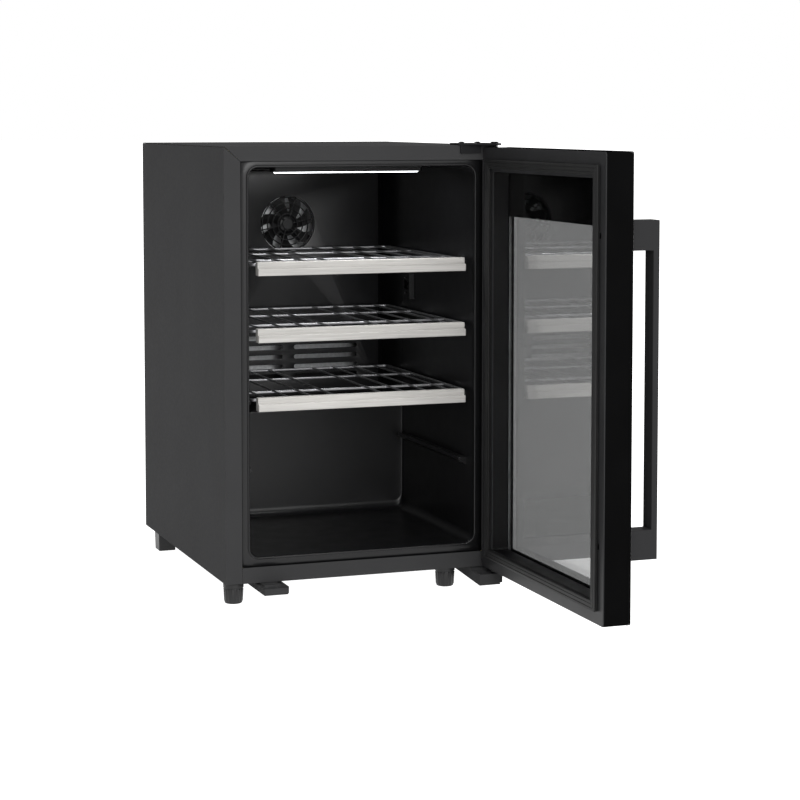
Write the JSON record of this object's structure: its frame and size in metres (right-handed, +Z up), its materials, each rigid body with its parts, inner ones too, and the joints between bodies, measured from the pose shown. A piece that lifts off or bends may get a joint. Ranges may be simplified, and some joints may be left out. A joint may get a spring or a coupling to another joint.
{
  "type": "wine cooler",
  "caption": "Freestanding wine cooler with an open glass door on side hinges, bar handle, sliding wood-fronted wire shelves, compressor cooling set and levelling feet.",
  "frame": {"origin": "bottom centre of the whole object's box, on the floor, with the door open at a right angle", "axes": "+Z up, the cabinet's front faces -Y, the door is hinged on the +X side and stands open along -Y"},
  "size_m": [0.487, 0.944, 0.6796],
  "materials": {
    "case_paint": "satin dark grey powder coat with a fine texture",
    "black_steel": "semi-gloss black coated steel",
    "galvanised": "galvanised sheet with a dull spangle",
    "zinc": "bright zinc plated",
    "liner_plastic": "black moulded liner, satin",
    "black_plastic": "fine textured black moulding",
    "white_plastic": "natural acetal",
    "foam": "rigid foam, rough",
    "rubber": "matt black",
    "glass": "grey tinted, polished",
    "aluminium": "mill finish",
    "copper": "drawn copper, slightly dulled",
    "pale_wood": "pale straight-grained wood, sanded and sealed",
    "rack_wire": "satin plated wire",
    "handle_coat": "satin dark grey coated bar",
    "diffuser": "opal, translucent"
  },
  "bodies": {
    "cabinet": {"side_panel_left": "case_paint", "side_panel_right": "case_paint", "top_panel": "case_paint", "base_pan": "case_paint", "lower_hinge_bracket": "case_paint", "front_left_bracket": "case_paint", "back_panel": "galvanised", "bay_shroud": "galvanised", "coil_clamp_left": "galvanised", "coil_clamp_right": "galvanised", "inlet_plate": "galvanised", "insulation_foam": "foam", "inner_liner": "liner_plastic", "rear_left_foot": "black_plastic", "rear_right_foot": "black_plastic", "air_cover": "black_plastic", "fan_motor": "black_plastic", "lamp_housing": "black_plastic", "sensor_cover": "black_plastic", "relay_box": "black_plastic", "drip_tray": "black_plastic", "electronics_box": "black_plastic", "power_inlet": "black_plastic", "top_hinge_plate": "black_steel", "top_hinge_pin": "black_steel", "top_hinge_screw_1": "black_steel", "top_hinge_screw_2": "black_steel", "compressor": "black_steel", "condenser_coil": "black_steel", "lower_hinge_pin": "zinc", "rubber_mount_1": "rubber", "rubber_mount_2": "rubber", "rubber_mount_3": "rubber", "rubber_mount_4": "rubber", "evaporator_plate": "aluminium", "filter_drier": "copper", "capillary_tube": "copper", "suction_pipe": "copper", "drain_pipe": "white_plastic", "lamp_diffuser": "diffuser"},
    "door": {"door_front_glass": "glass", "door_frame": "black_plastic", "door_inner_glass": "glass", "glass_spacer": "aluminium", "door_gasket": "rubber", "handle": "handle_coat", "handle_screw_lower": "zinc", "handle_screw_upper": "zinc", "display_module": "black_plastic", "upper_hinge_bush": "white_plastic", "lower_hinge_bush": "white_plastic"},
    "shelf_1": {"shelf_1_rack": "rack_wire", "shelf_1_rail": "pale_wood"},
    "shelf_2": {"shelf_2_rack": "rack_wire", "shelf_2_rail": "pale_wood"},
    "shelf_3": {"shelf_3_rack": "rack_wire", "shelf_3_rail": "pale_wood"},
    "fan": {"circulation_fan": "black_plastic"},
    "left_foot": {"front_left_foot": "black_plastic"},
    "right_foot": {"front_right_foot": "black_plastic"}
  },
  "joints": [
    {"name": "door_hinge", "type": "hinge", "parent": "cabinet", "child": "door", "pos_m": [0.1725, -0.056, 0.35], "axis": [0, 0, 1], "range_deg": [-90, 15]},
    {"name": "shelf_1_slide", "type": "slide", "parent": "cabinet", "child": "shelf_1", "axis": [0, -1, 0], "range_m": [0, 0.2]},
    {"name": "shelf_2_slide", "type": "slide", "parent": "cabinet", "child": "shelf_2", "axis": [0, -1, 0], "range_m": [0, 0.2]},
    {"name": "shelf_3_slide", "type": "slide", "parent": "cabinet", "child": "shelf_3", "axis": [0, -1, 0], "range_m": [0, 0.2]},
    {"name": "fan_spin", "type": "hinge", "parent": "cabinet", "child": "fan", "pos_m": [-0.0285, 0.36, 0.54], "axis": [0, 1, 0], "continuous": true},
    {"name": "left_foot_turn", "type": "hinge", "parent": "cabinet", "child": "left_foot", "pos_m": [-0.228, -0.02, 0.015], "axis": [0, 0, 1], "continuous": true},
    {"name": "right_foot_turn", "type": "hinge", "parent": "cabinet", "child": "right_foot", "pos_m": [0.1095, -0.014, 0.015], "axis": [0, 0, 1], "continuous": true}
  ]
}
